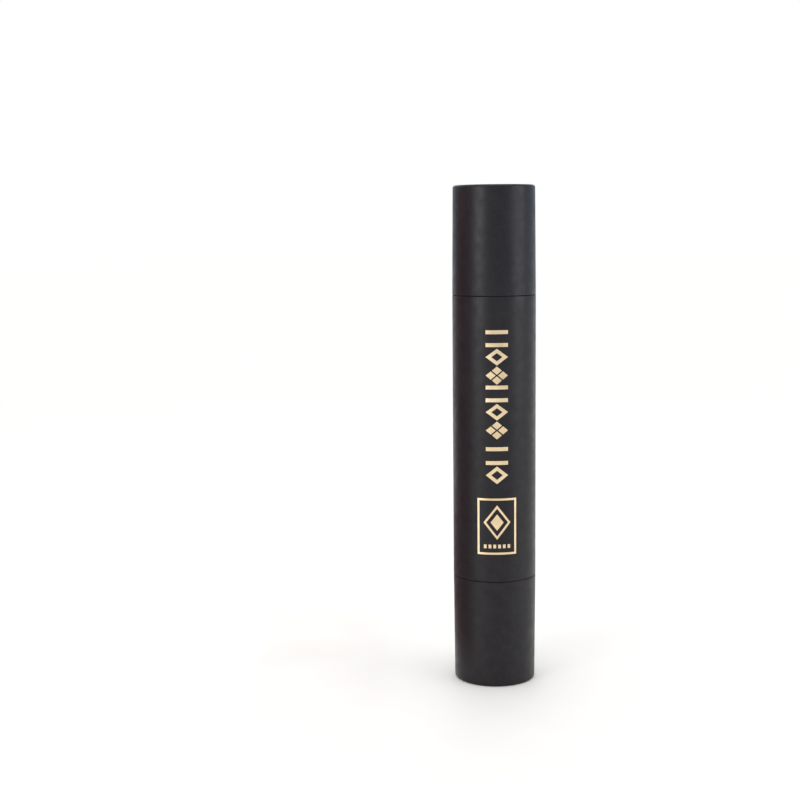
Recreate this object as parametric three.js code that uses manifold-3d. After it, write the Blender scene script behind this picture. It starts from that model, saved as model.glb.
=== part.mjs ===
// Double-ended lipstick case.
// A matte black barrel carries a twist-up lipstick in each end, and each end is covered by a pull-off cap.
// Millimetres, +Z up. The case stands on its lower cap, the origin is the centre of that cap's end face, and the
// decorated front of the barrel faces -Y.
//
// Each end is the same set of pieces. It is described once, in a frame whose origin is the middle of the barrel and
// whose +Z points out of that end. The upper end is that frame lifted to the middle of the case, and the lower end is
// the same frame turned half a turn about X.

import * as THREE from "three";
import { mergeVertices } from "three/addons/utils/BufferGeometryUtils.js";
import Module from "manifold-3d";

const wasm = await Module();
wasm.setup();

// ---- Outer form -------------------------------------------------------------------------------------------------
const CASE_LENGTH = 120; // cap end to cap end
const BARREL_LENGTH = 68;
const BARREL_R = 10;
const BARREL_WALL = 1.2;
const SEAM_GAP = 0.25; // shut line between a cap's mouth and the barrel
const CAP_MOUTH_R = 10;
const CAP_END_R = 9.78; // moulding draft makes the closed end a little smaller
const CAP_WALL = 0.85;
const CAP_END_WALL = 1.3;
const CAP_END_EDGE_R = 0.6;
const EDGE_BREAK = 0.2;

// ---- Along one end, measured from the middle of the barrel -------------------------------------------------------
const HALF = CASE_LENGTH / 2; // outer face of the cap
const BARREL_END = BARREL_LENGTH / 2;
const CAP_MOUTH_Z = BARREL_END + SEAM_GAP;

const KNOB_Z0 = 4.0; // splined knob of the inner body, held in the centre socket
const FLANGE_Z0 = 12.5; // flange that carries the twisting parts
const FLANGE_Z1 = 14.0;
const FORK_TOP = 56.2;
const SPIRAL_Z0 = 15.05;
const SPIRAL_TOP = 56.0;
const SHELL_Z0 = 22.0; // lower edge of the aluminium sleeve, inside the collar
const SHELL_TOP = 56.8; // mouth of the aluminium sleeve
const COLLAR_Z0 = 20.5;
const NECK_TOP = 39.6;
const LINER_Z0 = 34.75;
const LINER_TOP = 58.62;
const LINER_END_WALL = 0.7;

// ---- Radii through the nest, from the lipstick outwards ----------------------------------------------------------
const BULLET_R = 5.5;
const CUP_IN = 5.58;
const CUP_OUT = 6.0;
const FORK_IN = 6.1;
const FORK_OUT = 6.6;
const SPIRAL_IN = 6.72;
const SPIRAL_OUT = 7.5;
const SHELL_IN = 7.58;
const SHELL_OUT = 7.95;
const COLLAR_IN = 8.06;
const NECK_OUT = 8.48;
const COLLAR_OUT = 8.72;
const LINER_IN = 8.6;
const LINER_OUT = 9.06;
const FLANGE_R = 7.5;

// ---- Twist-up motion ---------------------------------------------------------------------------------------------
const LEAD = 15; // rise of the helical groove per turn
const TURNS = 2;
const TRAVEL = LEAD * TURNS;
const CUP_Z0 = 14.6; // underside of the cup, wound right down
const CUP_HEIGHT = 11;
const LUG_Z = 19.5; // the cup's two lugs, wound right down
const LUG_R = 0.9;
const LUG_REACH = 6.98;
const SLOT_WIDTH = 2.1; // straight slots in the inner body
const GROOVE_FLOOR = 7.25;
const GROOVE_HALF_WIDTH = 1.25; // along the axis
const GROOVE_RUN_OUT = THREE.MathUtils.degToRad(32); // extra groove past the lug at each end

const BULLET_Z0 = CUP_Z0 + 1.2;
const BULLET_TIP = 52.8;
const BULLET_SHOULDER = 47.2; // where the domed tip begins

const ROUND = 48; // segments round the outer pieces
const INNER_ROUND = 32; // segments round the hidden pieces

// ---- Helpers -----------------------------------------------------------------------------------------------------

// A turned solid about Z from a profile of [radius, z] points listed anticlockwise, outer side going up.
// A profile that isn't on the axis at both ends is closed on itself.
function turned(profile, segments) {
  const points = profile.map(([r, z]) => new THREE.Vector2(r, z));
  const open = profile[0][0] === 0 && profile[profile.length - 1][0] === 0;
  if (!open) points.push(points[0].clone());
  const geometry = new THREE.LatheGeometry(points, segments);
  geometry.rotateX(Math.PI / 2);
  return geometry;
}

// The closed solid of a geometry, with shared vertices merged and collapsed triangles left out.
function solid(geometry) {
  const bare = (geometry.index ? geometry.toNonIndexed() : geometry).clone();
  bare.deleteAttribute("normal");
  bare.deleteAttribute("uv");
  const merged = mergeVertices(bare, 1e-4);
  const corners = merged.index.array;
  const kept = [];
  for (let i = 0; i < corners.length; i += 3) {
    const [a, b, c] = [corners[i], corners[i + 1], corners[i + 2]];
    if (a !== b && b !== c && a !== c) kept.push(a, b, c);
  }
  return new wasm.Manifold(
    new wasm.Mesh({
      numProp: 3,
      vertProperties: merged.attributes.position.array,
      triVerts: new Uint32Array(kept),
    }),
  );
}

function geometryOf(made) {
  const mesh = made.getMesh();
  const position = new Float32Array(mesh.numVert * 3);
  for (let i = 0; i < mesh.numVert; i++) {
    position.set(
      mesh.vertProperties.subarray(i * mesh.numProp, i * mesh.numProp + 3),
      i * 3,
    );
  }
  const geometry = new THREE.BufferGeometry();
  geometry.setAttribute("position", new THREE.BufferAttribute(position, 3));
  geometry.setIndex(new THREE.BufferAttribute(mesh.triVerts, 1));
  geometry.computeVertexNormals();
  return geometry;
}

function cut(base, ...tools) {
  return tools.reduce((left, tool) => left.subtract(tool), base);
}

function join(base, ...more) {
  return more.reduce((left, piece) => left.add(piece), base);
}

function box(sx, sy, sz, x, y, z) {
  const geometry = new THREE.BoxGeometry(sx, sy, sz);
  geometry.translate(x, y, z);
  return solid(geometry);
}

// A splined prism about Z: round teeth standing out of a core.
function splined(coreR, tipR, teeth, z0, z1) {
  const shape = new THREE.Shape();
  const step = (2 * Math.PI) / teeth;
  for (let i = 0; i < teeth; i++) {
    const at = i * step;
    const corners = [
      [coreR, at - 0.36 * step],
      [tipR, at - 0.2 * step],
      [tipR, at + 0.2 * step],
      [coreR, at + 0.36 * step],
    ];
    corners.forEach(([r, a], k) => {
      const x = r * Math.cos(a);
      const y = r * Math.sin(a);
      if (i === 0 && k === 0) shape.moveTo(x, y);
      else shape.lineTo(x, y);
    });
  }
  shape.closePath();
  const geometry = new THREE.ExtrudeGeometry(shape, {
    depth: z1 - z0,
    bevelEnabled: false,
    steps: 1,
  });
  geometry.translate(0, 0, z0);
  return solid(geometry);
}

// The material taken out by one right-handed helical groove that opens to the bore.
function helicalGroove(phase) {
  const from = -GROOVE_RUN_OUT;
  const to = TURNS * 2 * Math.PI + GROOVE_RUN_OUT;
  const steps = Math.ceil((to - from) / THREE.MathUtils.degToRad(20));
  const position = [];
  const index = [];
  for (let i = 0; i <= steps; i++) {
    const turn = from + ((to - from) * i) / steps;
    const z = LUG_Z + (LEAD * turn) / (2 * Math.PI);
    const c = Math.cos(phase + turn);
    const s = Math.sin(phase + turn);
    for (const [r, dz] of [
      [SPIRAL_IN - 0.5, -GROOVE_HALF_WIDTH],
      [GROOVE_FLOOR, -GROOVE_HALF_WIDTH],
      [GROOVE_FLOOR, GROOVE_HALF_WIDTH],
      [SPIRAL_IN - 0.5, GROOVE_HALF_WIDTH],
    ]) {
      position.push(r * c, r * s, z + dz);
    }
    if (i < steps) {
      for (let k = 0; k < 4; k++) {
        const a = i * 4 + k;
        const b = i * 4 + ((k + 1) % 4);
        index.push(a, b + 4, b, a, a + 4, b + 4);
      }
    }
  }
  const last = steps * 4;
  index.push(0, 1, 2, 0, 2, 3);
  index.push(last, last + 2, last + 1, last, last + 3, last + 2);
  const groove = new wasm.Manifold(
    new wasm.Mesh({
      numProp: 3,
      vertProperties: new Float32Array(position),
      triVerts: new Uint32Array(index),
    }),
  );
  if (groove.volume() > 0) return groove;
  for (let i = 0; i < index.length; i += 3)
    [index[i + 1], index[i + 2]] = [index[i + 2], index[i + 1]];
  return new wasm.Manifold(
    new wasm.Mesh({
      numProp: 3,
      vertProperties: new Float32Array(position),
      triVerts: new Uint32Array(index),
    }),
  );
}

const finish = {
  matteBlack: { color: 0x2b292c, roughness: 0.55, metalness: 0 },
  linerBlack: { color: 0x151416, roughness: 0.3, metalness: 0 },
  gold: { color: 0xd9a860, roughness: 0.28, metalness: 1 },
  natural: { color: 0xe6e2d8, roughness: 0.45, metalness: 0 },
  socketBlack: { color: 0x1d1c1e, roughness: 0.5, metalness: 0 },
  silicone: { color: 0xc9c4ba, roughness: 0.6, metalness: 0 },
};

function piece(name, geometry, look) {
  const mesh = new THREE.Mesh(
    geometry,
    new THREE.MeshStandardMaterial(look),
  );
  mesh.name = name;
  return mesh;
}

// ---- Pieces of the barrel ----------------------------------------------------------------------------------------

// Outer tube, open right through, with its edges broken.
function barrelShell() {
  const h = BARREL_END;
  const inner = BARREL_R - BARREL_WALL;
  return turned(
    [
      [inner, -h + EDGE_BREAK],
      [inner + EDGE_BREAK, -h],
      [BARREL_R - EDGE_BREAK, -h],
      [BARREL_R, -h + EDGE_BREAK],
      [BARREL_R, h - EDGE_BREAK],
      [BARREL_R - EDGE_BREAK, h],
      [inner + EDGE_BREAK, h],
      [inner, h - EDGE_BREAK],
    ],
    ROUND,
  );
}

// Insert glued in the middle of the barrel. A splined socket faces each end, and two grooves round it hold glue.
function centreSocket() {
  const body = solid(
    turned(
      [
        [0, -13.2],
        [8.32, -13.2],
        [8.72, -12.8],
        [8.72, -9.5],
        [8.3, -9.1],
        [8.3, -5.4],
        [8.72, -5.0],
        [8.72, 5.0],
        [8.3, 5.4],
        [8.3, 9.1],
        [8.72, 9.5],
        [8.72, 12.8],
        [8.32, 13.2],
        [0, 13.2],
      ],
      INNER_ROUND,
    ),
  );
  const knobClear = 0.1;
  const seat = solid(
    turned(
      [
        [0, FLANGE_Z0 - 0.1],
        [FLANGE_R + 0.12, FLANGE_Z0 - 0.1],
        [FLANGE_R + 0.12, 14],
        [0, 14],
      ],
      INNER_ROUND,
    ),
  );
  const seatBelow = solid(
    turned(
      [
        [0, -14],
        [FLANGE_R + 0.12, -14],
        [FLANGE_R + 0.12, -FLANGE_Z0 + 0.1],
        [0, -FLANGE_Z0 + 0.1],
      ],
      INNER_ROUND,
    ),
  );
  return geometryOf(
    cut(
      body,
      splined(5.3 + knobClear, 6.1 + knobClear, 12, 1.3, 13.5),
      splined(5.3 + knobClear, 6.1 + knobClear, 12, -13.5, -1.3),
      seat,
      seatBelow,
    ),
  );
}

// ---- Pieces of one end -------------------------------------------------------------------------------------------

// Collar glued in the barrel's end. Its neck stands out under the cap, and a bead on it snaps into the cap's liner.
function collar() {
  return turned(
    [
      [COLLAR_IN, COLLAR_Z0],
      [COLLAR_OUT - 0.3, COLLAR_Z0],
      [COLLAR_OUT, COLLAR_Z0 + 0.6],
      [COLLAR_OUT, BARREL_END - 0.1],
      [NECK_OUT, BARREL_END + 0.14],
      [NECK_OUT, 37.0],
      [NECK_OUT + 0.07, 37.25],
      [NECK_OUT + 0.07, 37.65],
      [NECK_OUT, 37.9],
      [NECK_OUT, NECK_TOP - 0.3],
      [NECK_OUT - 0.2, NECK_TOP],
      [COLLAR_IN, NECK_TOP],
    ],
    INNER_ROUND,
  );
}

// Inner body: a slotted tube on a flange, with a splined knob below and a bead that keeps the spiral on.
function innerBody() {
  const tube = solid(
    turned(
      [
        [0, FLANGE_Z0],
        [FLANGE_R, FLANGE_Z0],
        [FLANGE_R, FLANGE_Z1],
        [FORK_OUT, FLANGE_Z1],
        [FORK_OUT, 15.5],
        [FORK_OUT + 0.3, 15.75],
        [FORK_OUT + 0.3, 16.05],
        [FORK_OUT, 16.4],
        [FORK_OUT, FORK_TOP],
        [FORK_IN, FORK_TOP],
        [FORK_IN, FLANGE_Z1],
        [0, FLANGE_Z1],
      ],
      INNER_ROUND,
    ),
  );
  const slotLow = LUG_Z - LUG_R - 0.3;
  const slotHigh = LUG_Z + TRAVEL + LUG_R + 0.3;
  const slot = box(
    4 * FORK_OUT,
    SLOT_WIDTH,
    slotHigh - slotLow,
    0,
    0,
    (slotLow + slotHigh) / 2,
  );
  const knob = cut(
    splined(5.3, 6.1, 12, KNOB_Z0, FLANGE_Z0 + 0.2),
    solid(
      turned(
        [
          [0, KNOB_Z0 - 1],
          [4.2, KNOB_Z0 - 1],
          [4.2, FLANGE_Z0 - 1.2],
          [0, FLANGE_Z0 - 1.2],
        ],
        24,
      ),
    ),
  );
  return geometryOf(join(cut(tube, slot), knob));
}

// Silicone ring on the flange. It rubs on the foot of the spiral and holds the lipstick where it is wound to.
function frictionRing() {
  return new THREE.TorusGeometry(7.06, 0.38, 6, 24).translate(
    0,
    0,
    FLANGE_Z1 + 0.5,
  );
}

// Spiral: a tube round the inner body with two helical grooves in its bore and a snap groove at its foot.
function spiral() {
  const tube = solid(
    turned(
      [
        [SPIRAL_IN + 0.1, SPIRAL_Z0],
        [SPIRAL_OUT, SPIRAL_Z0],
        [SPIRAL_OUT, SPIRAL_TOP],
        [SPIRAL_IN, SPIRAL_TOP],
        [SPIRAL_IN, 16.75],
        [SPIRAL_IN + 0.38, 16.45],
        [SPIRAL_IN + 0.38, 15.5],
        [SPIRAL_IN + 0.1, 15.3],
      ],
      INNER_ROUND,
    ),
  );
  return geometryOf(cut(tube, helicalGroove(0), helicalGroove(Math.PI)));
}

// Aluminium sleeve pressed over the spiral. Its rolled mouth covers the ends of the spiral and the inner body.
function outerSleeve() {
  return turned(
    [
      [SHELL_IN, SHELL_Z0],
      [SHELL_OUT, SHELL_Z0],
      [SHELL_OUT, SHELL_TOP - 0.35],
      [SHELL_OUT - 0.1, SHELL_TOP - 0.1],
      [SHELL_OUT - 0.35, SHELL_TOP],
      [5.95, SHELL_TOP],
      [5.8, SHELL_TOP - 0.1],
      [5.8, SHELL_TOP - 0.42],
      [SHELL_IN, SHELL_TOP - 0.42],
    ],
    INNER_ROUND,
  );
}

// Cup that carries the lipstick. Two lugs reach through the inner body's slots into the spiral's grooves.
function cup() {
  const top = CUP_Z0 + CUP_HEIGHT;
  const body = solid(
    turned(
      [
        [1.2, CUP_Z0],
        [CUP_OUT - 0.25, CUP_Z0],
        [CUP_OUT, CUP_Z0 + 0.25],
        [CUP_OUT, top],
        [CUP_IN + 0.12, top],
        [CUP_IN, top - 0.3],
        [CUP_IN, CUP_Z0 + 1],
        [1.2, CUP_Z0 + 1],
      ],
      24,
    ),
  );
  const lugs = [1, -1].map((side) => {
    const inner = CUP_OUT - 0.25;
    const lug = new THREE.CylinderGeometry(
      LUG_R,
      LUG_R,
      LUG_REACH - inner,
      12,
    );
    lug.rotateZ(Math.PI / 2);
    lug.translate((side * (LUG_REACH + inner)) / 2, 0, LUG_Z);
    return solid(lug);
  });
  return geometryOf(join(body, ...lugs));
}

// Lipstick: a cast stick with a domed tip and the slanting face it is cut to.
function bullet() {
  const stick = solid(
    turned(
      [
        [0, BULLET_Z0],
        [BULLET_R, BULLET_Z0],
        [BULLET_R, BULLET_SHOULDER],
        [5.3, BULLET_SHOULDER + 1.6],
        [4.7, BULLET_SHOULDER + 3.2],
        [3.6, BULLET_SHOULDER + 4.5],
        [1.9, BULLET_SHOULDER + 5.4],
        [0, BULLET_TIP],
      ],
      INNER_ROUND,
    ),
  );
  const knife = new THREE.BoxGeometry(30, 30, 12);
  knife.translate(0, 0, 6);
  knife.rotateY(THREE.MathUtils.degToRad(48));
  knife.translate(-0.6, 0, BULLET_TIP - 1.1);
  return geometryOf(cut(stick, solid(knife)));
}

// Cap shell: a deep tapered cup with a flat end and a softened edge.
function capShell() {
  const slope = (CAP_END_R - CAP_MOUTH_R) / (HALF - CAP_MOUTH_Z);
  const outerAt = (z) => CAP_MOUTH_R + slope * (z - CAP_MOUTH_Z);
  const edge = [];
  for (let i = 0; i <= 3; i++) {
    const a = (i / 3) * (Math.PI / 2);
    edge.push([
      outerAt(HALF - CAP_END_EDGE_R) - CAP_END_EDGE_R * (1 - Math.cos(a)),
      HALF - CAP_END_EDGE_R * (1 - Math.sin(a)),
    ]);
  }
  const innerMouth = CAP_MOUTH_R - CAP_WALL;
  return turned(
    [
      [innerMouth + 0.15, CAP_MOUTH_Z],
      [CAP_MOUTH_R - EDGE_BREAK, CAP_MOUTH_Z],
      [CAP_MOUTH_R, CAP_MOUTH_Z + EDGE_BREAK],
      ...edge,
      [0, HALF],
      [0, HALF - CAP_END_WALL],
      [innerMouth - 0.03, HALF - CAP_END_WALL],
      [innerMouth, CAP_MOUTH_Z + 0.15],
    ],
    ROUND,
  );
}

// Cap liner: a thin cup glued in the cap shell, with a groove that the collar's bead snaps into.
function capLiner() {
  return turned(
    [
      [LINER_IN + 0.1, LINER_Z0],
      [LINER_OUT, LINER_Z0],
      [LINER_OUT, LINER_TOP],
      [0, LINER_TOP],
      [0, LINER_TOP - LINER_END_WALL],
      [LINER_IN - 0.1, LINER_TOP - LINER_END_WALL],
      [LINER_IN, 42],
      [LINER_IN, 38.1],
      [LINER_IN + 0.1, 37.85],
      [LINER_IN + 0.1, 37.05],
      [LINER_IN, 36.8],
      [LINER_IN, 35.1],
    ],
    INNER_ROUND,
  );
}

function makeEnd(side, lipstick) {
  const end = new THREE.Group();
  end.add(
    piece(side + "_collar", collar(), finish.linerBlack),
    piece(side + "_inner_body", innerBody(), finish.natural),
    piece(side + "_friction_ring", frictionRing(), finish.silicone),
    piece(side + "_spiral", spiral(), finish.natural),
    piece(side + "_outer_sleeve", outerSleeve(), finish.gold),
    piece(side + "_cup", cup(), finish.natural),
    piece(side + "_lipstick", bullet(), {
      color: lipstick,
      roughness: 0.5,
      metalness: 0,
    }),
    piece(side + "_cap_shell", capShell(), finish.matteBlack),
    piece(side + "_cap_liner", capLiner(), finish.linerBlack),
  );
  return end;
}

// ---- Assembly ----------------------------------------------------------------------------------------------------

const lipstickCase = new THREE.Group();
const middle = new THREE.Group();
middle.position.z = HALF;
lipstickCase.add(middle);

middle.add(
  piece("barrel_shell", barrelShell(), finish.matteBlack),
  piece("centre_socket", centreSocket(), finish.socketBlack),
);

middle.add(makeEnd("upper", 0xa8323f));
const lowerEnd = makeEnd("lower", 0x8c3a36);
lowerEnd.rotation.x = Math.PI;
middle.add(lowerEnd);

export default lipstickCase;
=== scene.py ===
"""The looks of the double-ended lipstick case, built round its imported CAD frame.

Every visible piece is a fine mesh made here in millimetres, turned into metres and put in the row frame. Sizes of one
end are measured from the middle of the barrel, with z pointing out of that end, as the case's two ends are the same.
"""

import math

import bmesh
import bpy
from mathutils import Matrix, Vector


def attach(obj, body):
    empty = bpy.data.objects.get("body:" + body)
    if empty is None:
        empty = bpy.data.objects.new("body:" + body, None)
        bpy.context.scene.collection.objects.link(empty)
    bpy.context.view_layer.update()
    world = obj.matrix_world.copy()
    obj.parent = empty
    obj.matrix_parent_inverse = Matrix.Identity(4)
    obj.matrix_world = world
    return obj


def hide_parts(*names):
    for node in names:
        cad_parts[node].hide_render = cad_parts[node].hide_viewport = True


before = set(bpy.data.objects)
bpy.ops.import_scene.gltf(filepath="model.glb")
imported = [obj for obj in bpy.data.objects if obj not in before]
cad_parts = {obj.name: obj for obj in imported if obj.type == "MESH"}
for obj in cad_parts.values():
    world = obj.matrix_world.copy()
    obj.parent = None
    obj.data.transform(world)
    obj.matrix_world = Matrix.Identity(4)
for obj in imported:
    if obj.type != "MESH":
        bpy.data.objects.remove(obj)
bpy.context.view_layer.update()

MM = 0.001
MIDDLE = 60.0  # height of the barrel's middle, mm
UPPER = Matrix.Translation((0, 0, MIDDLE))
LOWER = Matrix.Translation((0, 0, MIDDLE)) @ Matrix.Rotation(math.pi, 4, "X")
CENTRE = Matrix.Translation((0, 0, MIDDLE))

FINE = 192  # segments round the outer pieces
MID = 128  # segments round what shows when a cap is off
HIDDEN = 96  # segments round the pieces inside


# ---------------------------------------------------------------- meshes


def rounded(corners, steps=5):
    """A profile from corners (r, z, radius, wear): each corner with a radius becomes an arc of that many steps."""
    out = []
    count = len(corners)
    closed = not (corners[0][0] == 0 and corners[-1][0] == 0)
    for i, c in enumerate(corners):
        r, z = c[0], c[1]
        radius = c[2] if len(c) > 2 else 0
        wear = c[3] if len(c) > 3 else 0
        here = Vector((r, z))
        if not radius or (not closed and i in (0, count - 1)):
            out.append((r, z, wear))
            continue
        before, after = Vector(corners[i - 1][:2]), Vector(corners[(i + 1) % count][:2])
        u, v = before - here, after - here
        lu, lv = u.length, v.length
        u.normalize()
        v.normalize()
        half = math.acos(max(-1.0, min(1.0, u.dot(v)))) / 2
        reach = min(radius / math.tan(half), 0.48 * lu, 0.48 * lv)
        radius = reach * math.tan(half)
        centre = here + (u + v).normalized() * (radius / math.sin(half))
        a, b = here + u * reach - centre, here + v * reach - centre
        angle = a.angle_signed(b)  # clockwise positive
        for k in range(steps + 1):
            t = -angle * k / steps
            p = centre + Vector((a.x * math.cos(t) - a.y * math.sin(t), a.x * math.sin(t) + a.y * math.cos(t)))
            out.append((p.x, p.y, wear))
    return out, closed


def spaced(points, closed, longest):
    """The same profile with no span longer than that."""
    out = []
    n = len(points)
    for i in range(n if closed else n - 1):
        a, b = points[i], points[(i + 1) % n]
        parts = max(1, math.ceil(math.hypot(b[0] - a[0], b[1] - a[1]) / longest))
        for k in range(parts):
            t = k / parts
            out.append(tuple(a[j] + (b[j] - a[j]) * t for j in range(3)))
    if not closed:
        out.append(points[-1])
    return out


def turned(corners, segments, longest=2.0, steps=5):
    """(vertices, faces, wear) of a turned solid, in mm. The profile runs anticlockwise: up the outside, down the inside."""
    profile, closed = rounded(corners, steps)
    profile = spaced(profile, closed, longest)
    verts, wears, rings = [], [], []
    for r, z, wear in profile:
        if r < 1e-9:
            rings.append([len(verts)])
            verts.append((0.0, 0.0, z))
            wears.append(wear)
        else:
            rings.append(list(range(len(verts), len(verts) + segments)))
            for i in range(segments):
                a = 2 * math.pi * i / segments
                verts.append((r * math.cos(a), r * math.sin(a), z))
                wears.append(wear)
    faces = []
    pairs = [(rings[i], rings[(i + 1) % len(rings)]) for i in range(len(rings) if closed else len(rings) - 1)]
    for low, high in pairs:
        for i in range(segments):
            k = (i + 1) % segments
            if len(low) == 1 and len(high) == 1:
                continue
            if len(low) == 1:
                faces.append((low[0], high[k], high[i]))
            elif len(high) == 1:
                faces.append((low[i], low[k], high[0]))
            else:
                faces.append((low[i], low[k], high[k], high[i]))
    return verts, faces, wears


def mesh_of(name, verts, faces, wears=None):
    mesh = bpy.data.meshes.new(name)
    mesh.from_pydata(verts, [], faces)
    mesh.update()
    if wears:
        attribute = mesh.attributes.new("wear", "FLOAT", "POINT")
        attribute.data.foreach_set("value", wears)
    return mesh


def object_of(name, mesh):
    ob = bpy.data.objects.new(name, mesh)
    bpy.context.scene.collection.objects.link(ob)
    return ob


def tidy(mesh):
    """Merged doubles, no loose or empty parts, faces out."""
    bm = bmesh.new()
    bm.from_mesh(mesh)
    bmesh.ops.remove_doubles(bm, verts=bm.verts, dist=1e-4)
    bmesh.ops.dissolve_degenerate(bm, edges=bm.edges, dist=1e-5)
    loose = [v for v in bm.verts if not v.link_faces]
    bmesh.ops.delete(bm, geom=loose, context="VERTS")
    bmesh.ops.recalc_face_normals(bm, faces=bm.faces)
    bm.to_mesh(mesh)
    bm.free()


def combined(base, tools):
    """The base mesh (mm) after each (mesh, "DIFFERENCE" or "UNION") in turn."""
    ob = object_of("work", base)
    spare = []
    for mesh, how in tools:
        other = object_of("tool", mesh)
        spare.append(other)
        modifier = ob.modifiers.new("b", "BOOLEAN")
        modifier.object = other
        modifier.operation = how
        modifier.solver = "EXACT"
    graph = bpy.context.evaluated_depsgraph_get()
    graph.update()
    made = bpy.data.meshes.new_from_object(ob.evaluated_get(graph))
    for o in [ob, *spare]:
        bpy.data.objects.remove(o)
    tidy(made)
    return made


def finished(name, mesh, place, body, nodes, material, sharp=32):
    """Puts a millimetre mesh in its place in the row frame, shades it, and lets it ride and stand for its CAD nodes."""
    mesh.name = name
    mesh.transform(Matrix.Scale(MM, 4) @ place)
    mesh.shade_smooth()
    mesh.set_sharp_from_angle(angle=math.radians(sharp))
    mesh.materials.clear()
    mesh.materials.append(material)
    ob = object_of(name, mesh)
    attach(ob, body)
    if nodes:
        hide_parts(*nodes)
    return ob


# ---------------------------------------------------------------- materials


class Shader:
    """A material's node tree, with one Principled shader and object coordinates in millimetres."""

    def __init__(self, name, **values):
        self.material = bpy.data.materials.new(name)
        self.material.use_nodes = True
        self.tree = self.material.node_tree
        self.tree.nodes.clear()
        self.out = self.node("ShaderNodeOutputMaterial")
        self.bsdf = self.node("ShaderNodeBsdfPrincipled")
        self.join(self.bsdf.outputs[0], self.out.inputs[0])
        for key, value in values.items():
            self.bsdf.inputs[key.replace("_", " ")].default_value = value
        coord = self.node("ShaderNodeTexCoord")
        scale = self.node("ShaderNodeVectorMath", operation="SCALE")
        scale.inputs["Scale"].default_value = 1000
        self.join(coord.outputs["Object"], scale.inputs[0])
        self.mm = scale.outputs[0]

    def node(self, kind, **props):
        n = self.tree.nodes.new(kind)
        for key, value in props.items():
            setattr(n, key, value)
        return n

    def join(self, a, b):
        self.tree.links.new(a, b)

    def stretched(self, x, y, z):
        n = self.node("ShaderNodeVectorMath", operation="MULTIPLY")
        self.join(self.mm, n.inputs[0])
        n.inputs[1].default_value = (x, y, z)
        return n.outputs[0]

    def noise(self, scale, detail=2.0, rough=0.5, vector=None, distort=0.0):
        """Noise whose features are about 1/scale mm."""
        n = self.node("ShaderNodeTexNoise")
        self.join(vector or self.mm, n.inputs["Vector"])
        n.inputs["Scale"].default_value = scale
        n.inputs["Detail"].default_value = detail
        n.inputs["Roughness"].default_value = rough
        n.inputs["Distortion"].default_value = distort
        return n.outputs[0]

    def spread(self, value, low, high, to_low=0.0, to_high=1.0):
        n = self.node("ShaderNodeMapRange")
        self.join(value, n.inputs["Value"])
        for key, v in (("From Min", low), ("From Max", high), ("To Min", to_low), ("To Max", to_high)):
            n.inputs[key].default_value = v
        return n.outputs[0]

    def maths(self, how, a, b):
        n = self.node("ShaderNodeMath", operation=how)
        for i, v in enumerate((a, b)):
            if isinstance(v, (int, float)):
                n.inputs[i].default_value = v
            else:
                self.join(v, n.inputs[i])
        return n.outputs[0]

    def mix(self, factor, a, b):
        n = self.node("ShaderNodeMix", data_type="RGBA")
        if isinstance(factor, (int, float)):
            n.inputs[0].default_value = factor
        else:
            self.join(factor, n.inputs[0])
        for socket, v in ((n.inputs[6], a), (n.inputs[7], b)):
            if isinstance(v, (tuple, list)):
                socket.default_value = (*v[:3], 1)
            else:
                self.join(v, socket)
        return n.outputs[2]

    def wear(self):
        n = self.node("ShaderNodeAttribute", attribute_name="wear")
        return n.outputs["Fac"]

    def bump(self, *layers):
        """Layers of (height, millimetres) stacked into the normal."""
        normal = None
        for height, depth in layers:
            n = self.node("ShaderNodeBump")
            n.inputs["Strength"].default_value = 1.0
            n.inputs["Distance"].default_value = depth * MM
            self.join(height, n.inputs["Height"])
            if normal:
                self.join(normal, n.inputs["Normal"])
            normal = n.outputs[0]
        self.join(normal, self.bsdf.inputs["Normal"])

    def set(self, key, value):
        self.join(value, self.bsdf.inputs[key])


def soft_touch_black():
    """Rubbery lacquer over black: nearly no colour of its own, a broad soft gloss, a fine even grain and faint orange peel."""
    s = Shader("soft_touch_black", Specular_IOR_Level=0.30, Sheen_Weight=0.012, Sheen_Roughness=0.4)
    cloud = s.noise(0.11, 3.0, 0.55)
    patch = s.noise(0.45, 2.0, 0.5)
    grain = s.noise(3.4, 2.0, 0.65)
    fine = s.noise(9.0, 1.0, 0.6)
    tint = s.mix(s.spread(cloud, 0.3, 0.7), (0.0030, 0.0014, 0.0030), (0.0052, 0.0032, 0.0056))
    tint = s.mix(s.spread(grain, 0.42, 0.72, 0.0, 0.75), tint, (0.0120, 0.0095, 0.0125))
    worn = s.maths("MULTIPLY", s.wear(), s.spread(patch, 0.35, 0.7))
    tint = s.mix(s.maths("MULTIPLY", worn, 0.5), tint, (0.014, 0.0125, 0.0145))
    s.set("Base Color", tint)
    rough = s.maths("ADD", s.spread(cloud, 0.3, 0.7, 0.40, 0.46), s.spread(grain, 0.3, 0.7, -0.04, 0.04))
    s.set("Roughness", s.maths("SUBTRACT", rough, s.maths("MULTIPLY", worn, 0.09)))
    s.bump((s.noise(0.8, 1.0), 0.003), (grain, 0.006), (fine, 0.003))
    return s.material


def inner_black(name, low, high, rough):
    s = Shader(name, Specular_IOR_Level=0.5)
    cloud = s.noise(0.2, 3.0)
    flow = s.noise(0.6, 2.0, 0.5, s.stretched(1, 1, 0.15), 0.6)
    s.set("Base Color", s.mix(s.spread(cloud, 0.3, 0.7), low, high))
    s.set("Roughness", s.maths("ADD", s.spread(flow, 0.3, 0.7, rough, rough + 0.09), s.spread(s.noise(12, 2.0), 0.3, 0.7, 0.0, 0.03)))
    s.bump((flow, 0.004), (s.noise(10, 1.0), 0.0012))
    return s.material


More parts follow.
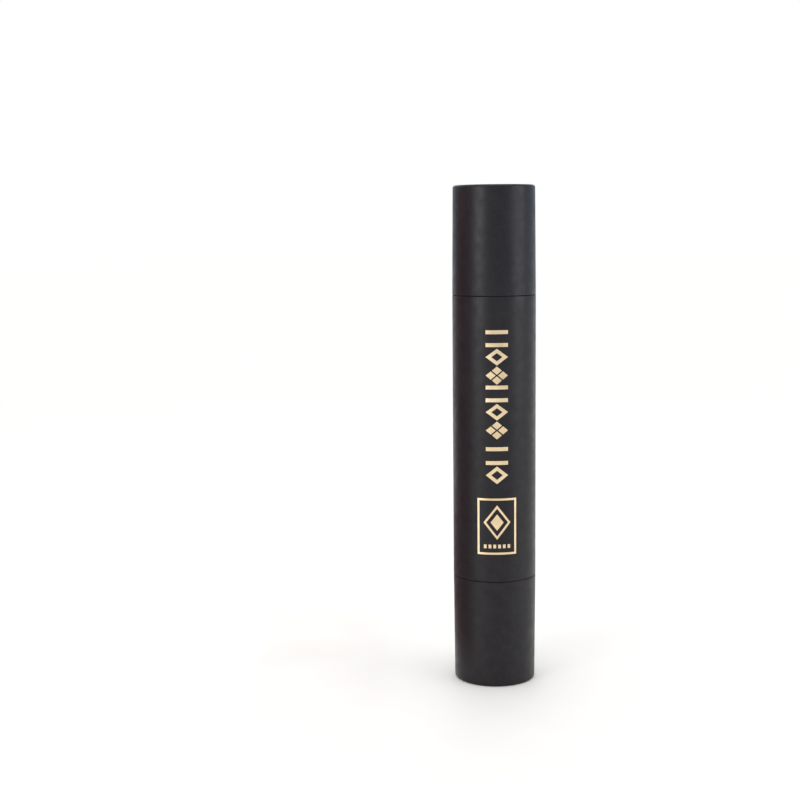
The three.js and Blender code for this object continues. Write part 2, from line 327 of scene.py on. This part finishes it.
def gold(name, deep, bright, rough, across, depth):
    """Metal with fine lines that run round the case, as drawing or turning leaves them."""
    s = Shader(name, Metallic=1.0)
    lines = s.noise(1.0, 3.0, 0.6, s.stretched(0.12, 0.12, across))
    cloud = s.noise(0.22, 3.0, 0.55)
    fleck = s.noise(5.0, 2.0, 0.6)
    s.set("Base Color", s.mix(s.spread(s.maths("ADD", s.maths("MULTIPLY", cloud, 0.6), s.maths("MULTIPLY", fleck, 0.4)), 0.35, 0.65), deep, bright))
    s.set("Roughness", s.maths("ADD", s.spread(lines, 0.3, 0.7, rough, rough + 0.10), s.spread(cloud, 0.3, 0.7, 0.0, 0.05)))
    s.bump((lines, depth), (fleck, 0.0006))
    return s.material


def natural_plastic():
    s = Shader("natural_plastic", Specular_IOR_Level=0.5, Subsurface_Weight=0.25, Subsurface_Scale=0.0015)
    s.bsdf.inputs["Subsurface Radius"].default_value = (1.0, 0.85, 0.6)
    cloud = s.noise(0.3, 3.0)
    flow = s.noise(0.9, 2.0, 0.5, s.stretched(1, 1, 0.12), 0.7)
    s.set("Base Color", s.mix(s.spread(cloud, 0.3, 0.7), (0.70, 0.67, 0.59), (0.80, 0.78, 0.71)))
    s.set("Roughness", s.spread(flow, 0.3, 0.7, 0.30, 0.42))
    s.bump((flow, 0.005), (s.noise(9, 1.0), 0.0015))
    return s.material


def silicone():
    s = Shader("silicone", Specular_IOR_Level=0.45, Subsurface_Weight=0.3, Subsurface_Scale=0.001)
    s.set("Base Color", s.mix(s.spread(s.noise(0.8, 3.0), 0.3, 0.7), (0.46, 0.44, 0.40), (0.58, 0.56, 0.51)))
    s.set("Roughness", s.spread(s.noise(6, 2.0), 0.3, 0.7, 0.52, 0.66))
    s.bump((s.noise(8, 2.0), 0.003))
    return s.material


def wax(name, deep, light):
    """Cast wax: a soft lustre, faint drag lines from the mould and a very fine grain."""
    s = Shader(name, Specular_IOR_Level=0.45, Subsurface_Weight=0.16, Subsurface_Scale=0.0010, Sheen_Weight=0.03, Sheen_Roughness=0.5)
    s.bsdf.inputs["Subsurface Radius"].default_value = (1.0, 0.35, 0.3)
    cloud = s.noise(0.12, 1.0)
    drag = s.noise(2.4, 2.0, 0.5, s.stretched(1, 1, 0.05))
    grain = s.noise(13, 2.0, 0.6)
    s.set("Base Color", s.mix(s.spread(s.maths("ADD", s.maths("MULTIPLY", cloud, 0.6), s.maths("MULTIPLY", grain, 0.4)), 0.35, 0.65), deep, light))
    s.set("Roughness", s.maths("ADD", s.spread(drag, 0.3, 0.7, 0.34, 0.42), s.spread(grain, 0.3, 0.7, -0.02, 0.03)))
    s.bump((drag, 0.002), (grain, 0.0018))
    return s.material


SOFT_BLACK = soft_touch_black()
SATIN_BLACK = inner_black("satin_black", (0.008, 0.008, 0.009), (0.013, 0.013, 0.014), 0.22)
LINER_BLACK = inner_black("liner_black", (0.010, 0.010, 0.011), (0.016, 0.016, 0.017), 0.30)
SOCKET_BLACK = inner_black("socket_black", (0.016, 0.016, 0.017), (0.026, 0.026, 0.027), 0.42)
SLEEVE_GOLD = gold("sleeve_gold", (0.76, 0.50, 0.23), (0.86, 0.61, 0.32), 0.17, 9.0, 0.0015)
FOIL_GOLD = gold("foil_gold", (0.70, 0.51, 0.29), (0.95, 0.76, 0.49), 0.27, 2.0, 0.0012)
NATURAL = natural_plastic()
SILICONE = silicone()
ROSE = wax("wax_rose", (0.39, 0.034, 0.062), (0.45, 0.050, 0.080))
BRICK = wax("wax_brick", (0.24, 0.046, 0.039), (0.29, 0.062, 0.050))


# ---------------------------------------------------------------- barrel and its insert

SHELL_Z = 34.04


def barrel_shell():
    h = SHELL_Z
    return mesh_of(
        "barrel_shell",
        *turned(
            [
                (8.8, -h, 0.12, 0),
                (10.0, -h, 0.09, 1),
                (10.0, h, 0.09, 1),
                (8.8, h, 0.12, 0),
            ],
            FINE,
            1.6,
        ),
    )


def splined(core, tip, teeth, z0, z1, fine=4):
    """A prism about Z with round-topped teeth."""
    step = 2 * math.pi / teeth
    outline = []
    for i in range(teeth):
        for k in range(4 * fine):
            t = k / (4 * fine)
            ridge = 0.5 + 0.5 * math.cos(2 * math.pi * t)
            ridge = min(1.0, max(0.0, (ridge - 0.22) / 0.5))
            ridge = ridge * ridge * (3 - 2 * ridge)
            r = core + (tip - core) * ridge
            a = (i + t) * step
            outline.append((r * math.cos(a), r * math.sin(a)))
    n = len(outline)
    rows = max(2, math.ceil((z1 - z0) / 2.0) + 1)
    verts = [(x, y, z0 + (z1 - z0) * j / (rows - 1)) for j in range(rows) for x, y in outline]
    faces = [(j * n + i, j * n + (i + 1) % n, (j + 1) * n + (i + 1) % n, (j + 1) * n + i) for j in range(rows - 1) for i in range(n)]
    faces.append(tuple(range(n - 1, -1, -1)))
    faces.append(tuple(range((rows - 1) * n, rows * n)))
    return mesh_of("splined", verts, faces)


def centre_socket():
    body = mesh_of(
        "socket",
        *turned(
            [
                (0, -13.2),
                (8.72, -13.2, 0.4, 0),
                (8.72, -9.5, 0.1, 0),
                (8.3, -9.1, 0.1, 0),
                (8.3, -5.4, 0.1, 0),
                (8.72, -5.0, 0.1, 0),
                (8.72, 5.0, 0.1, 0),
                (8.3, 5.4, 0.1, 0),
                (8.3, 9.1, 0.1, 0),
                (8.72, 9.5, 0.1, 0),
                (8.72, 13.2, 0.4, 0),
                (0, 13.2),
            ],
            HIDDEN,
            2.0,
            3,
        )[:2],
    )
    tools = []
    for side in (1, -1):
        low, high = sorted((1.3 * side, 14.0 * side))
        tools.append((splined(5.4, 6.2, 12, low, high), "DIFFERENCE"))
        low, high = sorted((12.4 * side, 14.0 * side))
        seat = mesh_of("seat", *turned([(0, low), (7.62, low), (7.62, high), (0, high)], HIDDEN, 3.0)[:2])
        tools.append((seat, "DIFFERENCE"))
    return combined(body, tools)


finished("barrel", barrel_shell(), CENTRE, "barrel", ["barrel_shell"], SOFT_BLACK)
finished("barrel_centre_socket", centre_socket(), CENTRE, "barrel", ["centre_socket"], SOCKET_BLACK)


# ---------------------------------------------------------------- pieces of one end


def collar():
    return mesh_of(
        "collar",
        *turned(
            [
                (8.06, 20.5, 0.1, 0),
                (8.72, 20.5, 0.3, 0),
                (8.72, 33.9, 0.08, 0),
                (8.48, 34.14, 0.1, 0),
                (8.48, 37.08, 0.2, 0),
                (8.56, 37.45, 0.35, 1),
                (8.48, 37.82, 0.2, 0),
                (8.48, 39.6, 0.22, 1),
                (8.06, 39.6, 0.12, 0),
            ],
            MID,
            1.5,
            4,
        ),
    )


def outer_sleeve():
    return mesh_of(
        "sleeve",
        *turned(
            [
                (7.58, 22.0, 0.08, 0),
                (7.95, 22.0, 0.1, 0),
                (7.95, 56.8, 0.38, 1),
                (5.8, 56.8, 0.2, 1),
                (5.8, 56.38, 0.16, 0),
                (7.58, 56.38, 0.1, 0),
            ],
            FINE,
            1.5,
            6,
        ),
    )


def cap_shell():
    return mesh_of(
        "cap",
        *turned(
            [
                (9.15, 34.16, 0.12, 0),
                (10.0, 34.16, 0.09, 1),
                (9.78, 60.0, 0.6, 1),
                (0, 60.0),
                (0, 58.7),
                (9.12, 58.7, 0.3, 0),
            ],
            FINE,
            1.4,
            7,
        ),
    )


def cap_liner():
    return mesh_of(
        "liner",
        *turned(
            [
                (8.7, 34.75, 0.15, 0),
                (9.06, 34.75, 0.1, 0),
                (9.03, 58.62, 0.3, 0),
                (0, 58.62),
                (0, 57.92),
                (8.5, 57.92, 0.4, 0),
                (8.6, 42.0),
                (8.6, 37.95, 0.1, 0),
                (8.7, 37.7, 0.1, 0),
                (8.7, 37.2, 0.1, 0),
                (8.6, 36.95, 0.1, 0),
                (8.6, 35.1),
            ],
            MID,
            1.5,
            4,
        ),
    )


def friction_ring():
    around, across = HIDDEN, 16
    verts, faces = [], []
    for i in range(around):
        a = 2 * math.pi * i / around
        for k in range(across):
            b = 2 * math.pi * k / across
            r = 7.06 + 0.38 * math.cos(b)
            verts.append((r * math.cos(a), r * math.sin(a), 14.5 + 0.38 * math.sin(b)))
    for i in range(around):
        for k in range(across):
            j, m = (i + 1) % around, (k + 1) % across
            faces.append((i * across + k, j * across + k, j * across + m, i * across + m))
    return mesh_of("ring", verts, faces)


def box_mesh(sx, sy, z0, z1):
    x, y = sx / 2, sy / 2
    verts = [(i, j, k) for k in (z0, z1) for i, j in ((-x, -y), (x, -y), (x, y), (-x, y))]
    faces = [(3, 2, 1, 0), (4, 5, 6, 7), (0, 1, 5, 4), (1, 2, 6, 5), (2, 3, 7, 6), (3, 0, 4, 7)]
    return mesh_of("box", verts, faces)


def inner_body():
    tube = mesh_of(
        "tube",
        *turned(
            [
                (0, 12.5),
                (7.5, 12.5, 0.2, 0),
                (7.5, 14.0, 0.2, 0),
                (6.6, 14.0),
                (6.6, 15.5, 0.1, 0),
                (6.9, 15.75, 0.1, 0),
                (6.9, 16.05, 0.1, 0),
                (6.6, 16.4, 0.1, 0),
                (6.6, 56.2, 0.15, 0),
                (6.1, 56.2, 0.1, 0),
                (6.1, 14.0),
                (0, 14.0),
            ],
            HIDDEN,
            2.0,
            3,
        )[:2],
    )
    bore = mesh_of("bore", *turned([(0, 3.0), (4.2, 3.0), (4.2, 11.3), (0, 11.3)], HIDDEN, 3.0)[:2])
    return combined(
        tube,
        [
            (box_mesh(30, 2.1, 18.3, 50.7), "DIFFERENCE"),
            (splined(5.3, 6.1, 12, 4.0, 13.0), "UNION"),
            (bore, "DIFFERENCE"),
        ],
    )


def groove(phase):
    """A helical cutter, right-handed, 15 mm lead, with rounded corners at its floor."""
    start, end = -math.radians(32), 4 * math.pi + math.radians(32)
    steps = math.ceil((end - start) / math.radians(5))
    section = [(6.2, -1.25), (7.13, -1.25), (7.22, -1.16), (7.25, -1.0), (7.25, 1.0), (7.22, 1.16), (7.13, 1.25), (6.2, 1.25)]
    n = len(section)
    verts, faces = [], []
    for i in range(steps + 1):
        t = start + (end - start) * i / steps
        z = 19.5 + 15 * t / (2 * math.pi)
        for r, dz in section:
            verts.append((r * math.cos(phase + t), r * math.sin(phase + t), z + dz))
    for i in range(steps):
        for k in range(n):
            m = (k + 1) % n
            faces.append((i * n + k, i * n + m, (i + 1) * n + m, (i + 1) * n + k))
    faces.append(tuple(range(n - 1, -1, -1)))
    faces.append(tuple(range(steps * n, steps * n + n)))
    mesh = mesh_of("groove", verts, faces)
    tidy(mesh)
    return mesh


def spiral():
    tube = mesh_of(
        "tube",
        *turned(
            [
                (6.82, 15.05, 0.05, 0),
                (7.5, 15.05, 0.15, 0),
                (7.5, 56.0, 0.15, 0),
                (6.72, 56.0, 0.1, 0),
                (6.72, 16.75, 0.1, 0),
                (7.1, 16.45, 0.1, 0),
                (7.1, 15.5, 0.1, 0),
                (6.82, 15.3, 0.05, 0),
            ],
            HIDDEN,
            2.0,
            3,
        )[:2],
    )
    return combined(tube, [(groove(0.0), "DIFFERENCE"), (groove(math.pi), "DIFFERENCE")])


def cup():
    body = mesh_of(
        "cup",
        *turned(
            [
                (1.2, 14.6, 0.1, 0),
                (6.0, 14.6, 0.25, 0),
                (6.0, 25.6, 0.1, 0),
                (5.58, 25.6, 0.12, 0),
                (5.58, 15.6, 0.2, 0),
                (1.2, 15.6, 0.1, 0),
            ],
            HIDDEN,
            2.0,
            3,
        )[:2],
    )
    tools = []
    for side in (1, -1):
        verts, faces, n = [], [], 32
        for x, r in ((5.75, 0.9), (6.88, 0.9), (6.95, 0.87), (6.98, 0.8)):
            for i in range(n):
                a = 2 * math.pi * i / n
                verts.append((side * x, r * math.cos(a), 19.5 + r * math.sin(a)))
        for j in range(3):
            for i in range(n):
                k = (i + 1) % n
                faces.append((j * n + i, j * n + k, (j + 1) * n + k, (j + 1) * n + i))
        faces.append(tuple(range(n - 1, -1, -1)))
        faces.append(tuple(range(3 * n, 4 * n)))
        lug = mesh_of("lug", verts, faces)
        tidy(lug)
        tools.append((lug, "UNION"))
    return combined(body, tools)


def lipstick():
    """A stick with a full dome cut by a slanting plane whose rim is softened."""
    radius, bottom, shoulder, tip = 5.5, 15.8, 47.2, 52.8
    around, rings = MID, 40
    soft = 0.22

    def height(x, alpha):
        dome = shoulder + (tip - shoulder) * math.cos(alpha) ** 0.86 if alpha < math.pi / 2 - 1e-6 else shoulder
        plane = 51.7 - 1.1106 * (x + 0.6)
        gap = dome - plane
        return 0.5 * (dome + plane - math.sqrt(gap * gap + 4 * soft * soft)) + 0.0

    verts, faces = [(0, 0, height(0, 0))], []
    for j in range(1, rings + 1):
        alpha = (math.pi / 2) * j / rings
        for i in range(around):
            a = 2 * math.pi * i / around
            x, y = radius * math.sin(alpha) * math.cos(a), radius * math.sin(alpha) * math.sin(a)
            verts.append((x, y, height(x, alpha)))
    for i in range(around):
        faces.append((0, 1 + i, 1 + (i + 1) % around))
    for j in range(rings - 1):
        low, high = 1 + (j + 1) * around, 1 + j * around
        for i in range(around):
            k = (i + 1) % around
            faces.append((low + i, low + k, high + k, high + i))
    edge = 1 + (rings - 1) * around
    rows = 22
    for j in range(1, rows + 1):
        for i in range(around):
            x, y, top = verts[edge + i]
            t = j / rows
            verts.append((x, y, top + (bottom - top) * t))
    for j in range(rows):
        high = edge + j * around
        low = edge + (j + 1) * around
        for i in range(around):
            k = (i + 1) % around
            faces.append((low + i, low + k, high + k, high + i))
    foot = edge + rows * around
    for share in (0.66, 0.33):
        start = len(verts)
        for i in range(around):
            x, y, z = verts[foot + i]
            verts.append((x * share, y * share, z))
        faces += [(start + i, start + (i + 1) % around, (start - around if share < 0.5 else foot) + (i + 1) % around, (start - around if share < 0.5 else foot) + i) for i in range(around)]
    verts.append((0, 0, bottom))
    last = len(verts) - 1
    start = last - around
    faces += [(start + (i + 1) % around, start + i, last) for i in range(around)]
    mesh = mesh_of("lipstick", verts, faces)
    tidy(mesh)
    return mesh


MAKERS = {
    "collar": (collar, "collar", "barrel", SATIN_BLACK, "inner_black"),
    "inner_body": (inner_body, "inner_body", "barrel", NATURAL, "mechanism_natural"),
    "friction_ring": (friction_ring, "friction_ring", "barrel", SILICONE, "silicone"),
    "sleeve": (outer_sleeve, "outer_sleeve", "{}_sleeve", SLEEVE_GOLD, "gold_aluminium"),
    "spiral": (spiral, "spiral", "{}_sleeve", NATURAL, "mechanism_natural"),
    "cup": (cup, "cup", "{}_carrier", NATURAL, "mechanism_natural"),
    "lipstick": (lipstick, "lipstick", "{}_carrier", None, "lipstick_{}"),
    "cap": (cap_shell, "cap_shell", "{}_cap", SOFT_BLACK, "soft_touch_black"),
    "cap_liner": (cap_liner, "cap_liner", "{}_cap", LINER_BLACK, "inner_black"),
}
SHADES = {"upper": (ROSE, "rose"), "lower": (BRICK, "brick")}

for label, (maker, node, body, material, slot) in MAKERS.items():
    master = maker()
    for end, place in (("upper", UPPER), ("lower", LOWER)):
        shade, shade_name = SHADES[end]
        finished(
            f"{end}_{label}_look",
            master.copy(),
            place,
            body.format(end),
            [f"{end}_{node}"],
            material or shade,
        )
    bpy.data.meshes.remove(master)


# ---------------------------------------------------------------- gold foil on the barrel's front
# A column of plain geometric motifs over a framed emblem, each a thin raised sheet that follows the barrel.

FOIL_TOP = 10.022
FOIL_FOOT = 9.985


class Foil:
    """Closed thin solids laid out flat in (u, v): u round the barrel from its front line, v up it, in mm."""

    def __init__(self):
        self.verts, self.faces = [], []

    def sheet(self, grid, closed=False):
        """grid[row][column] of (u, v) becomes a raised sheet. closed joins the last column to the first."""
        rows, columns = len(grid), len(grid[0])
        base = len(self.verts)
        for r in (FOIL_TOP, FOIL_FOOT):
            for row in grid:
                for u, v in row:
                    a = u / 10.0
                    self.verts.append((r * math.sin(a), -r * math.cos(a), v))
        under = rows * columns
        span = columns if closed else columns - 1

        def at(i, k, low=0):
            return base + low * under + i * columns + k % columns

        for i in range(rows - 1):
            for k in range(span):
                self.faces.append((at(i, k), at(i, k + 1), at(i + 1, k + 1), at(i + 1, k)))
                self.faces.append((at(i + 1, k, 1), at(i + 1, k + 1, 1), at(i, k + 1, 1), at(i, k, 1)))
        for k in range(span):
            self.faces.append((at(0, k, 1), at(0, k + 1, 1), at(0, k + 1), at(0, k)))
            self.faces.append((at(rows - 1, k), at(rows - 1, k + 1), at(rows - 1, k + 1, 1), at(rows - 1, k, 1)))
        if not closed:
            for i in range(rows - 1):
                self.faces.append((at(i + 1, 0, 1), at(i, 0, 1), at(i, 0), at(i + 1, 0)))
                last = columns - 1
                self.faces.append((at(i, last, 1), at(i + 1, last, 1), at(i + 1, last), at(i, last)))

    def bar(self, u0, u1, v0, v1):
        n = max(2, math.ceil((u1 - u0) / 0.3) + 1)
        m = max(2, math.ceil((v1 - v0) / 1.2) + 1)
        self.sheet([[(u0 + (u1 - u0) * k / (n - 1), v0 + (v1 - v0) * i / (m - 1)) for k in range(n)] for i in range(m)])

    def ring(self, outer, inner, per_side):
        """A closed band between two outlines with the same number of corners, listed anticlockwise."""
        count = len(outer)

        def walk(corners):
            out = []
            for c in range(count):
                a, b = corners[c], corners[(c + 1) % count]
                for k in range(per_side):
                    t = k / per_side
                    out.append((a[0] + (b[0] - a[0]) * t, a[1] + (b[1] - a[1]) * t))
            return out

        o, i = walk(outer), walk(inner)
        middle = [((p[0] + q[0]) / 2, (p[1] + q[1]) / 2) for p, q in zip(o, i)]
        self.sheet([o, middle, i], closed=True)

    def lozenge(self, u, v, half_u, half_v, stroke=None):
        def outline(hu, hv):
            return [(u - hu, v), (u, v - hv), (u + hu, v), (u, v + hv)]

        if stroke:
            slant = math.hypot(half_u, half_v)
            share = 1 - stroke * slant / (half_u * half_v)
            self.ring(outline(half_u, half_v), outline(half_u * share, half_v * share), 10)
        else:
            corners = outline(half_u, half_v)
            n = max(3, math.ceil(math.hypot(half_u, half_v) / 0.35) + 1)
            rows = []
            for i in range(n):
                s = i / (n - 1)
                row = []
                for k in range(n):
                    t = k / (n - 1)
                    p = [
                        (1 - s) * (1 - t) * corners[0][j] + (1 - s) * t * corners[1][j] + s * t * corners[2][j] + s * (1 - t) * corners[3][j]
                        for j in (0, 1)
                    ]
                    row.append(tuple(p))
                rows.append(row)
            self.sheet(rows)

    def frame(self, u0, u1, v0, v1, line):
        self.ring(
            [(u0, v0), (u1, v0), (u1, v1), (u0, v1)],
            [(u0 + line, v0 + line), (u1 - line, v0 + line), (u1 - line, v1 - line), (u0 + line, v1 - line)],
            28,
        )

    def object(self, name):
        mesh = mesh_of(name, self.verts, self.faces)
        bm = bmesh.new()
        bm.from_mesh(mesh)
        bmesh.ops.recalc_face_normals(bm, faces=bm.faces)
        bm.to_mesh(mesh)
        bm.free()
        return finished(name, mesh, Matrix.Identity(4), "barrel", [], FOIL_GOLD, 25)


STROKE = 0.92
HALF = 2.65


def motif(foil, kind, top, tall):
    low, middle = top - tall, top - tall / 2
    if kind == "bars":
        foil.bar(-HALF, HALF, top - STROKE, top)
        foil.bar(-HALF, HALF, low, low + STROKE)
    elif kind == "lozenge":
        foil.lozenge(0, middle, HALF, tall / 2, 0.80)
    elif kind == "seeds":
        for u, v in ((-1, 0), (1, 0)):
            foil.lozenge(u * 1.45, middle, 1.16, 0.98)
        for v in (-1, 1):
            foil.lozenge(0, middle + v * 1.16, 1.16, 0.98)


column = Foil()
rhythm = ["bars", "lozenge", "seeds", "bars", "lozenge", "seeds"]
tall, pitch = 3.93, 4.335
for i, kind in enumerate(rhythm):
    motif(column, kind, 86.24 - pitch * i, tall)
for i, kind in enumerate(["bars", "lozenge"]):
    motif(column, kind, 58.6 - 4.6 * i, 4.23)
column.object("barrel_foil_column")

emblem = Foil()
emblem.frame(-4.76, 4.76, 32.7, 46.3, 0.50)
emblem.lozenge(0, 40.5, 3.25, 4.15, 0.50)
emblem.lozenge(0, 40.5, 1.55, 1.98)
for i in range(6):
    u = -2.85 + 1.14 * i
    emblem.bar(u - 0.33, u + 0.33, 34.25, 35.15)
emblem.object("barrel_foil_emblem")


# ---------------------------------------------------------------- stage, light and camera

scene = bpy.context.scene
scene.view_settings.view_transform = "Standard"
scene.view_settings.look = "None"
scene.view_settings.exposure = 0
scene.view_settings.gamma = 1


def disc(name, radius):
    """A floor disc with its rings closer together near the middle."""
    segments, radii = 96, [0.02, 0.05, 0.1, 0.2, 0.4, 0.8, 1.6, radius]
    verts, faces = [(0, 0, 0)], []
    for r in radii:
        for i in range(segments):
            a = 2 * math.pi * i / segments
            verts.append((r * math.cos(a), r * math.sin(a), 0))
    for i in range(segments):
        faces.append((0, 1 + i, 1 + (i + 1) % segments))
    for j in range(len(radii) - 1):
        for i in range(segments):
            k = (i + 1) % segments
            faces.append((1 + j * segments + i, 1 + (j + 1) * segments + i, 1 + (j + 1) * segments + k, 1 + j * segments + k))
    return mesh_of(name, verts, faces)


def floor_material():
    s = Shader("pale_floor", Specular_IOR_Level=0.2)
    fine = s.noise(0.05, 3.0)
    s.set("Base Color", s.mix(s.spread(fine, 0.3, 0.7), (0.89, 0.888, 0.88), (0.91, 0.908, 0.90)))
    s.set("Roughness", s.spread(fine, 0.3, 0.7, 0.55, 0.65))
    # far from the case the sweep is evenly lit, so it ends in plain white
    away = s.node("ShaderNodeVectorMath", operation="LENGTH")
    s.join(s.mm, away.inputs[0])
    glow = s.node("ShaderNodeEmission")
    glow.inputs["Color"].default_value = (1.0, 1.0, 0.995, 1)
    glow.inputs["Strength"].default_value = 1.0
    both = s.node("ShaderNodeMixShader")
    fade = s.node("ShaderNodeMapRange", interpolation_type="SMOOTHSTEP")
    s.join(away.outputs["Value"], fade.inputs["Value"])
    fade.inputs["From Min"].default_value = 120
    fade.inputs["From Max"].default_value = 600
    s.join(fade.outputs[0], both.inputs[0])
    s.join(s.bsdf.outputs[0], both.inputs[1])
    s.join(glow.outputs[0], both.inputs[2])
    s.join(both.outputs[0], s.out.inputs[0])
    return s.material


floor_mesh = disc("floor", 4.0)
floor_mesh.materials.append(floor_material())
floor = object_of("floor", floor_mesh)

world = bpy.data.worlds.new("studio")
scene.world = world
world.use_nodes = True
tree = world.node_tree
tree.nodes.clear()
path = tree.nodes.new("ShaderNodeLightPath")


def background(colour, strength):
    n = tree.nodes.new("ShaderNodeBackground")
    n.inputs["Color"].default_value = (*colour, 1)
    n.inputs["Strength"].default_value = strength
    return n.outputs[0]


def either(factor, off, on):
    n = tree.nodes.new("ShaderNodeMixShader")
    for i, socket in enumerate((factor, off, on)):
        tree.links.new(socket, n.inputs[i])
    return n.outputs[0]


# the room is white to the eye, gives a neutral fill, and looks a little cooler and dimmer in reflections
fill = background((1.0, 0.99, 0.975), 0.68)
cool = background((0.55, 0.75, 1.0), 0.86)
overhead = background((0.92, 0.96, 1.0), 0.80)
direction = tree.nodes.new("ShaderNodeTexCoord")
parts = tree.nodes.new("ShaderNodeSeparateXYZ")
height = tree.nodes.new("ShaderNodeMapRange")
tree.links.new(direction.outputs["Generated"], parts.inputs[0])
tree.links.new(parts.outputs["Z"], height.inputs["Value"])
height.inputs["From Min"].default_value = 0.10
height.inputs["From Max"].default_value = 0.32
reflected = either(height.outputs[0], cool, overhead)
ambient = either(path.outputs["Is Glossy Ray"], fill, reflected)
shown = either(path.outputs["Is Camera Ray"], ambient, background((1, 1, 1), 1.0))
tree.links.new(shown, tree.nodes.new("ShaderNodeOutputWorld").inputs[0])


def softbox(name, azimuth, elevation, distance, wide, high, radiance, colour=(1, 1, 1), aim=(0, 0, 0.07)):
    """An area light seen from the case at that azimuth (0 is the front, positive to the right) and elevation."""
    light = bpy.data.lights.new(name, "AREA")
    light.shape = "RECTANGLE"
    light.size, light.size_y = wide, high
    light.energy = radiance * math.pi * wide * high
    light.color = colour
    ob = bpy.data.objects.new(name, light)
    scene.collection.objects.link(ob)
    a, e = math.radians(azimuth), math.radians(elevation)
    target = Vector(aim)
    ob.location = target + distance * Vector((math.sin(a) * math.cos(e), -math.cos(a) * math.cos(e), math.sin(e)))
    ob.rotation_euler = (ob.location - target).to_track_quat("Z", "Y").to_euler()
    ob.visible_camera = False
    return ob


softbox("left_box", -44, 10, 0.75, 0.25, 0.40, 4.7, (1.0, 0.965, 0.935))
softbox("right_box", 68, 10, 0.80, 0.48, 0.42, 2.6, (0.99, 0.985, 1.0))
softbox("top_box", 0, 89, 1.1, 1.1, 1.1, 1.4, (1.0, 0.99, 0.97), aim=(0, 0, 0))
softbox("back_box", 180, 25, 0.9, 0.8, 0.5, 1.2)


def flag(name, low, high):
    """A black card that only reflections see."""
    x0, y0, z0 = low
    x1, y1, z1 = high
    verts = [(x, y, z) for z in (z0, z1) for x, y in ((x0, y0), (x1, y0), (x1, y1), (x0, y1))]
    faces = [(3, 2, 1, 0), (4, 5, 6, 7), (0, 1, 5, 4), (1, 2, 6, 5), (2, 3, 7, 6), (3, 0, 4, 7)]
    mesh = mesh_of(name, verts, faces)
    s = Shader(name, Roughness=0.8)
    s.set("Base Color", s.mix(s.spread(s.noise(0.05), 0.3, 0.7), (0.50, 0.34, 0.36), (0.60, 0.42, 0.44)))
    mesh.materials.append(s.material)
    ob = object_of(name, mesh)
    ob.visible_camera = False
    ob.visible_diffuse = False
    ob.visible_shadow = False
    ob.visible_transmission = False
    return ob


flag("flag_left", (-0.060, -0.016, 0.0), (-0.028, 0.016, 0.125))
flag("flag_left_low", (-0.060, 0.016, 0.0), (-0.028, 0.060, 0.030))

camera = bpy.data.objects.new("camera", bpy.data.cameras.new("camera"))
scene.collection.objects.link(camera)
pitch, yaw, roll = (math.radians(v) for v in (7.30, -0.20, -0.60))
ahead = Vector((math.sin(yaw) * math.cos(pitch), math.cos(yaw) * math.cos(pitch), -math.sin(pitch)))
across = Vector((math.cos(yaw), -math.sin(yaw), 0))
upward = across.cross(ahead)
right = across * math.cos(roll) + upward * math.sin(roll)
upward = upward * math.cos(roll) - across * math.sin(roll)
turn = Matrix((right, upward, -ahead)).transposed().to_4x4()
camera.matrix_world = Matrix.Translation((-0.02160, -0.33832, 0.11213)) @ turn
camera.data.sensor_width = 36
camera.data.lens = 63.45
camera.data.clip_start = 0.005
camera.data.clip_end = 20
scene.camera = camera
